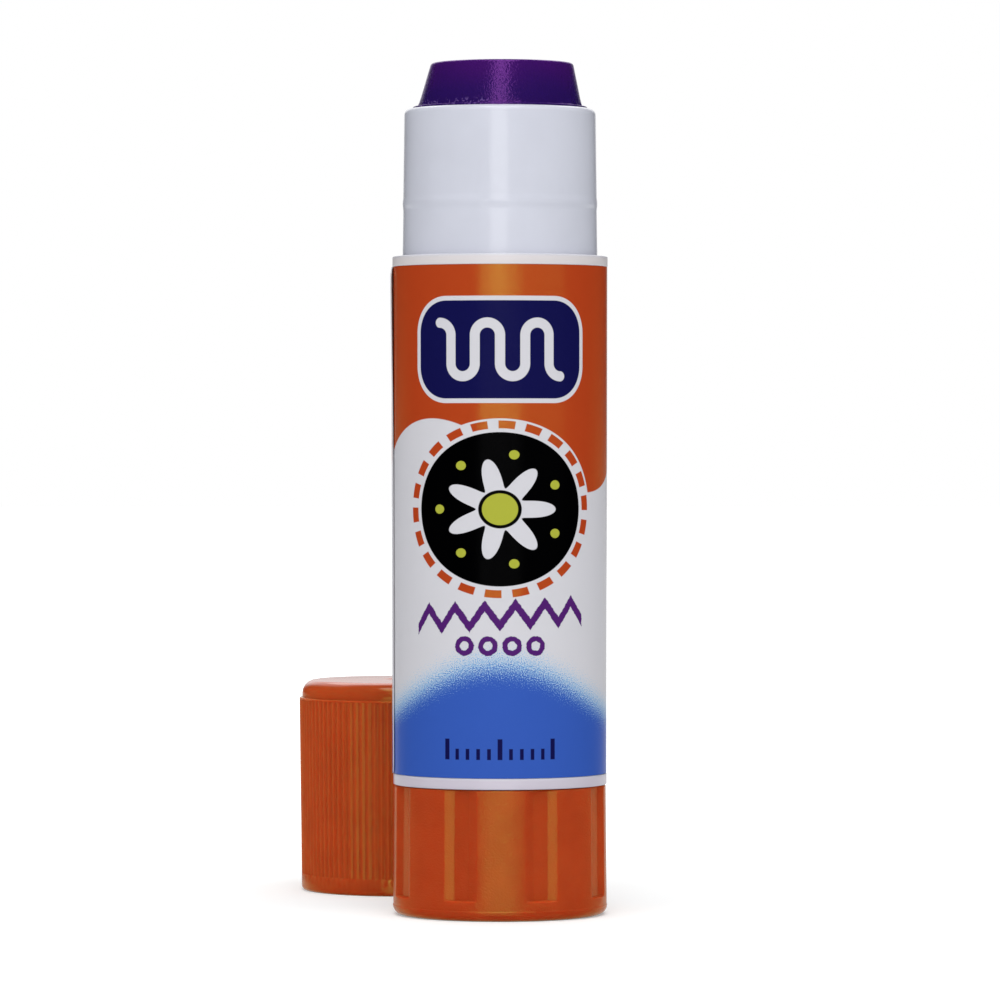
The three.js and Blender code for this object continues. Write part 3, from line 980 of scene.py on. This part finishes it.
# The small ledge at a finger recess's foot: height above its lip, and share of the full depth.
RECESS_LEDGE = (
    (-0.06 * MM, 0.0),
    (-0.03 * MM, 0.018),
    (-0.008 * MM, 0.067),
    (0.0, 0.11),
    (0.1 * MM, 1.0),
)


def ledge_share(rise):
    """Share of a finger recess's depth at a height above its lip."""
    share = 0
    for (low, before), (high, after) in zip(RECESS_LEDGE, RECESS_LEDGE[1:]):
        share += (after - before) * settle(rise, low, high)
    return share


def recess_shape(off_middle, lip, floor, edge):
    """Share of a finger recess's depth at an angle from its middle, with softened corners."""
    straight = (lip - off_middle) / (lip - floor)
    soft = edge / (lip - floor) / 2
    if straight <= -soft:
        return 0
    if straight < soft:
        return (straight + soft) ** 2 / (4 * soft)
    if straight <= 1 - soft:
        return straight
    if straight < 1 + soft:
        return 1 - (1 + soft - straight) ** 2 / (4 * soft)
    return 1


class STICK_OT_knob(bpy.types.Operator):
    """Models the orange knob: finger recesses, foot, underside, hub and the spindle's boss"""

    bl_idname = "stick.knob"
    bl_label = "Knob"

    def execute(self, context):
        stick = context.scene.stick_sizes
        s = context.scene.knob_sizes
        at = heights(context.scene)
        pad = stick.bore + stick.panel_wall + stick.band_rise - stick.panel_draft - s.step
        band = pad + s.draft + s.band_rise
        foot = band + s.heel_rise
        rim_out = foot - s.heel
        rim_in = rim_out - s.rim
        hub = stick.bore + stick.socket_wall - s.hub_gap
        hub_in = hub - s.hub_wall
        soft = 0.1 * MM
        bm = bmesh.new()
        trace(
            bm,
            [
                (0, s.gate_depth),
                (s.gate, s.gate_depth, soft),
                (s.gate + 2 * soft, 0, soft),
                (s.land, 0, soft),
                (s.land + soft, s.hollow, soft),
                (rim_in - soft / 2, s.hollow, soft),
                (rim_in, 0, 2 * soft),
                (foot, 0, s.heel),
                (foot, s.heel + soft / 4),
                (band, s.heel + soft * 0.7),
                *[(band, s.band + rise) for rise, _ in RECESS_LEDGE],
                (band - s.band_rise * 0.25, s.band + s.band_blend * 0.2),
                (band - s.band_rise * 0.6, s.band + s.band_blend * 0.45),
                (band - s.band_rise, s.band + s.band_blend, s.band_blend),
                (pad, at["knob_top"], 1.5 * soft),
                (hub, at["knob_top"], soft),
                (hub, at["snap"] - s.snap_foot),
                (hub + s.snap_rise, at["snap"] - s.snap_crest, soft),
                (hub + s.snap_rise, at["snap"] + s.snap_crest, soft),
                (hub, at["snap"] + s.snap_foot),
                (hub, at["hub_top"], 3 * soft),
                (hub_in, at["hub_top"], soft),
                (hub_in, s.floor, 3 * soft),
                (s.boss, s.floor, 3 * soft),
                (s.boss, s.boss_top, 2 * soft),
                (s.hole, s.boss_top, soft),
                (s.hole, s.hole_floor),
                (0, s.hole_floor),
            ],
        )
        edge = math.radians(1.1)
        pitch = FULL_TURN / s.recess_count
        half_floor = s.recess_floor - edge / 2
        slope = s.recess_lip - s.recess_floor - edge
        pad_sweep = pitch - 2 * s.recess_lip - edge
        rising = [(half_floor, 3), (edge, 2), (slope, 3), (edge, 2)]
        turn_sector(bm, [*rising, (pad_sweep, 12), *reversed(rising)])
        recess_high = at["knob_top"] + soft / 2
        for vert in bm.verts:
            radius, angle = polar(vert)
            if radius < pad - 2 * soft or not s.band - soft < vert.co.z < recess_high:
                continue
            off_middle = min(abs(angle), abs(pitch - angle))
            depth = s.recess_depth * recess_shape(off_middle, s.recess_lip, s.recess_floor, edge)
            set_radius(vert, radius - depth * ledge_share(vert.co.z - s.band))
        close_round(bm, s.recess_count)
        start = FRONT + pitch / 2 + s.recess_turn
        bmesh.ops.rotate(
            bm, verts=bm.verts[:], cent=(0, 0, 0), matrix=Matrix.Rotation(start, 3, "Z")
        )
        colours = context.scene.stick_colours
        finish_piece(
            bm,
            "knob_shell",
            [orange_plastic("orange_knob", colours, colours.orange, 0.03 * MM, 0.5 * MM)],
            "knob",
            ["knob"],
        )
        return {"FINISHED"}


class STICK_OT_glue(bpy.types.Operator):
    """Models the glue: tapered tip, the ledge at the neck, the column and its bore"""

    bl_idname = "stick.glue"
    bl_label = "Glue"

    def execute(self, context):
        s = context.scene.glue_sizes
        low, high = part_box("glue_core")
        _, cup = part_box("carrier")
        _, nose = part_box("spindle")
        full = context.scene.stick_sizes.bore - s.gap
        tip_foot = high.z - s.tip
        tip = full - s.ledge - s.taper
        plug_top = cup.z + s.plug_gap
        hole_top = nose.z + s.hole_rise
        soft = 0.1 * MM
        bm = bmesh.new()
        trace(
            bm,
            [
                (0, hole_top),
                (s.hole, hole_top, 4 * soft),
                (s.hole, low.z),
                (s.plug, low.z, soft),
                (s.plug, plug_top),
                (full, plug_top, soft),
                (full, tip_foot, 1.2 * soft),
                (full - s.ledge, tip_foot, soft),
                (tip, high.z, s.edge),
                (0, high.z),
            ],
        )
        subdivide_height(bm, tip_foot + 0.5 * MM, high.z - 0.5 * MM, 10)
        sectors = 24
        turn_sector(bm, [(FULL_TURN / sectors, 8)])
        close_round(bm, sectors)
        for vert in bm.verts:
            radius, _ = polar(vert)
            if vert.co.z < tip_foot - 1 * MM or radius < 1 * MM:
                continue
            sway = noise.noise(vert.co / s.sway_size) * s.sway
            near_foot = math.exp(-abs(vert.co.z - tip_foot) / s.crumb_band)
            crumbs = max(noise.noise(vert.co / s.crumb_size), 0) * s.crumbs * near_foot
            on_side = radius > tip - s.edge
            if on_side and radius < full - 2 * soft:
                set_radius(vert, radius + sway + crumbs)
            elif not on_side:
                vert.co.z -= s.sway + sway
            vert.co.x += s.lean * settle(vert.co.z, tip_foot, high.z)
        finish_piece(
            bm,
            "glue_stick",
            [glue_finish(context.scene.stick_colours)],
            "carrier",
            ["glue_core"],
        )
        return {"FINISHED"}


class STICK_OT_works(bpy.types.Operator):
    """Gives the spindle and the carrier inside the stick their plastics"""

    bl_idname = "stick.works"
    bl_label = "Spindle and carrier"

    def execute(self, context):
        colours = context.scene.stick_colours
        finishes = {
            "spindle": orange_plastic(
                "orange_spindle", colours, colours.orange, 0.01 * MM, 0.5 * MM
            ),
            "carrier": natural_plastic(colours),
        }
        for name, material in finishes.items():
            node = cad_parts[name]
            node.data.materials.clear()
            node.data.materials.append(material)
        return {"FINISHED"}


class STICK_OT_cap(bpy.types.Operator):
    """Models the cap: fine ribs, foot band, stepped collar, crowned end and bore"""

    bl_idname = "stick.cap"
    bl_label = "Cap"

    def execute(self, context):
        s = context.scene.cap_sizes
        colours = context.scene.stick_colours
        low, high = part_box("cap")
        axis = (low + high) / 2
        top = high.z
        foot = s.bore + s.wall
        shoulder = foot + s.flare
        collar = shoulder - s.collar_inset
        soft = 0.08 * MM
        crown = top - s.crown
        ceiling = top - s.top_wall
        dimple_floor = top - s.dimple_depth
        flange_top = s.rib_top + s.flange
        bm = bmesh.new()
        trace(
            bm,
            [
                (0, dimple_floor),
                (s.dimple * 0.75, dimple_floor, 0.5 * MM),
                (s.dimple, top, 0.3 * MM),
                (collar - s.collar_rounding, crown),
                (collar, crown, s.collar_rounding),
                (collar, flange_top, soft),
                (shoulder, flange_top, soft),
                (shoulder, s.rib_top),
                (shoulder, s.rib_top - soft),
                (foot, s.band + soft),
                (foot, s.band),
                (foot, 0, s.foot_rounding),
                (s.bore, 0, 0.2 * MM),
                (s.bore, s.step),
                (s.upper_bore, s.step, soft),
                (s.upper_bore, ceiling, 0.5 * MM),
                (0, ceiling),
            ],
        )
        sweep = FULL_TURN / s.rib_count
        roundness = 0.25
        turn_sector(bm, [(sweep, 8)])
        for vert in bm.verts:
            radius, angle = polar(vert)
            if radius < foot - soft / 2 or not s.band < vert.co.z < s.rib_top:
                continue
            across = 1 - abs(2 * angle / sweep - 1)
            rounded = (1 - math.cos(math.pi * across)) / 2
            hollow = (1 - roundness) * across + roundness * rounded
            set_radius(vert, radius - s.rib_depth * hollow)
        close_round(bm, s.rib_count)
        bmesh.ops.translate(bm, verts=bm.verts[:], vec=(axis.x, axis.y, low.z))
        finish_piece(
            bm,
            "cap_shell",
            [
                # Painted lighter orange makes up for the stick's shade on the cap.
                orange_plastic(
                    "orange_cap",
                    colours,
                    colours.cap_orange_painted_lighter,
                    0.008 * MM,
                    1.0 * MM,
                    high.z - s.polish,
                )
            ],
            "cap",
            ["cap"],
            sharp=60,
        )
        return {"FINISHED"}


# Stage


def white_floor(stage):
    """Pale table that shows as white where nothing shades it."""
    f = Finish("table_top")
    x, y, _ = f.split(f.place())
    strength = f.ramp(f.hypot(x, y), 0.03, 0.12, stage.floor_near, stage.floor_far)
    shade = f.node("BsdfDiffuse", {}, {"Color": (0.79, 0.81, 0.81, 1)})
    lift = f.node("Emission", {}, {"Color": (1, 1, 1, 1), "Strength": seen(f) * strength})
    both = f.node("AddShader", {}, {0: shade, 1: lift})
    return f.end(both)


def seen(f):
    """1 for rays that see the stage, straight or in a reflection, and 0 for rays that light it."""
    camera, glossy, through = [f.node("LightPath", output=socket) for socket in LIGHT_PATHS]
    return f.most(camera, glossy, through)


def white_room(stage):
    """Light from all round: a white backdrop behind the stick and a dark room in front of it."""
    room = Finish("studio", "worlds")
    bpy.context.scene.world = room.material
    camera = room.node("LightPath", output="Is Camera Ray")
    across, along, up = room.split(room.node("TexCoord", output="Generated"))
    # The table's far part, below the horizon.
    table = room.ramp(along, 0.2, 0.9) * room.ramp(up, -0.02, 0.0, 1.0, 0.0)
    # The backdrop, which widens and brightens upwards.
    aside = abs(across) - room.most(up, 0.0) * 0.5
    sweep = room.ramp(aside, 0.1, 0.37, 1.0, 0.0) * room.ramp(along, 0.2, 0.5)
    sweep = sweep * room.ramp(up, 0.04, 0.25, 1.0, 1.6)
    mirrored = room.most(room.most(sweep, table) * stage.backdrop, stage.gloom)
    ambient = room.ramp(along, -0.3, 0.3, stage.front, stage.back)
    in_view = seen(room)
    strength = room.most(camera, in_view * mirrored, (1 - in_view) * ambient)
    background = room.node("Background", {}, {"Color": (1, 1, 1, 1), "Strength": strength})
    room.node("OutputWorld", {}, {"Surface": background})


# The power of a lamp, in watts a square metre for each unit of radiance.
LAMP_POWER = 4

# Each level lamp's name, which is also that of its radiance's setting, its place and its width.
TOP_LAMPS = (
    ("overhead", (0, -0.5, 1.2), 0.75),
    ("overhead_back", (0, 0.85, 0.75), 0.8),
)

# Each lamp's name, azimuth from the camera and width in degrees, lower and upper edge and
# distance in metres, and its share of the lamps' radiance.
SOFT_LAMPS = (
    ("panel_low", -1.0, 40.0, -0.60, -0.01, 0.85, 0.75),
    ("strip_left", -17.5, 9.0, -0.01, 0.066, 0.70, 0.55),
    ("strip_right", 18.0, 10.0, -0.01, 0.066, 0.70, 0.55),
    ("panel_middle", 0.0, 44.0, -0.01, 0.07, 0.85, 0.12),
    ("bar", -1.0, 41.0, 0.066, 0.09, 0.70, 2.6),
    ("panel_high", -1.0, 20.0, 0.09, 0.90, 0.70, 1.9),
    ("panel_right", 46.0, 52.0, 0.056, 0.10, 0.70, 0.5),
)


def soft_lamp(name, azimuth, wide, low, high, reach, radiance):
    """An upright rectangle of light that faces the stick."""
    turned = math.radians(azimuth)
    width = 2 * reach * math.tan(math.radians(wide) / 2)
    piece = lamp(name, width, high - low, radiance)
    piece.location = (reach * math.sin(turned), -reach * math.cos(turned), (low + high) / 2)
    piece.rotation_euler = (math.pi / 2, 0, turned)


def top_lamp(name, place, size, radiance):
    """A square of light that hangs level and faces down."""
    piece = lamp(name, size, size, radiance)
    piece.location = place


def lamp(name, width, height, radiance):
    """A rectangular lamp that the camera doesn't see."""
    light = bpy.data.lights.new(name, "AREA")
    light.shape = "RECTANGLE"
    light.size = width
    light.size_y = height
    light.energy = LAMP_POWER * radiance * width * height
    piece = bpy.data.objects.new(name, light)
    piece.visible_camera = False
    bpy.context.collection.objects.link(piece)
    return piece


class STICK_OT_stage(bpy.types.Operator):
    """Sets the table, the white room, the soft lights and the camera"""

    bl_idname = "stick.stage"
    bl_label = "Stage"

    def execute(self, context):
        stage = context.scene.stick_stage
        scene = context.scene
        scene.view_settings.view_transform = "Standard"
        mesh = bpy.data.meshes.new("table_top")
        bm = bmesh.new()
        bmesh.ops.create_grid(bm, x_segments=1, y_segments=1, size=3)
        bm.to_mesh(mesh)
        bm.free()
        mesh.materials.append(white_floor(stage))
        floor = bpy.data.objects.new("table_top", mesh)
        context.collection.objects.link(floor)
        floor.visible_glossy = False
        white_room(stage)

        for name, azimuth, wide, low, high, reach, share in SOFT_LAMPS:
            soft_lamp(name, azimuth, wide, low, high, reach, share * stage.lamps)
        for name, place, size in TOP_LAMPS:
            top_lamp(name, place, size, getattr(stage, name))

        camera = bpy.data.cameras.new("camera")
        camera.lens = stage.lens
        camera.sensor_width = 36
        camera.clip_start = 0.01
        camera.clip_end = 20
        viewpoint = bpy.data.objects.new("camera", camera)
        viewpoint.location = (0, -stage.distance, stage.height)
        viewpoint.rotation_euler = (math.pi / 2 - stage.tilt, 0, 0)
        context.collection.objects.link(viewpoint)
        scene.camera = viewpoint
        return {"FINISHED"}


class STICK_PT_panel(bpy.types.Panel):
    """Lists the pieces and their sizes"""

    bl_idname = "STICK_PT_panel"
    bl_label = "Glue Stick"
    bl_space_type = "VIEW_3D"
    bl_region_type = "UI"
    bl_category = "Glue Stick"

    def draw(self, context):
        for operator in STEPS:
            self.layout.operator(operator.bl_idname)
        for group in GROUPS:
            box = self.layout.box()
            settings = getattr(context.scene, GROUPS[group])
            for name in group.__annotations__:
                box.prop(settings, name)


GROUPS = {
    StickSizes: "stick_sizes",
    KnobSizes: "knob_sizes",
    GlueSizes: "glue_sizes",
    CapSizes: "cap_sizes",
    StickColours: "stick_colours",
    StageSettings: "stick_stage",
}
STEPS = (
    STICK_OT_stage,
    STICK_OT_barrel,
    STICK_OT_label,
    STICK_OT_knob,
    STICK_OT_glue,
    STICK_OT_works,
    STICK_OT_cap,
)


def register():
    for group, name in GROUPS.items():
        bpy.utils.register_class(group)
        setattr(bpy.types.Scene, name, PointerProperty(type=group))
    for step in (*STEPS, STICK_PT_panel):
        bpy.utils.register_class(step)


def unregister():
    for step in reversed((*STEPS, STICK_PT_panel)):
        bpy.utils.unregister_class(step)
    for group, name in GROUPS.items():
        delattr(bpy.types.Scene, name)
        bpy.utils.unregister_class(group)


def main():
    register()
    bpy.ops.stick.stage()
    bpy.ops.stick.barrel()
    bpy.ops.stick.label()
    bpy.ops.stick.knob()
    bpy.ops.stick.glue()
    bpy.ops.stick.works()
    bpy.ops.stick.cap()


if __name__ == "__main__":
    main()
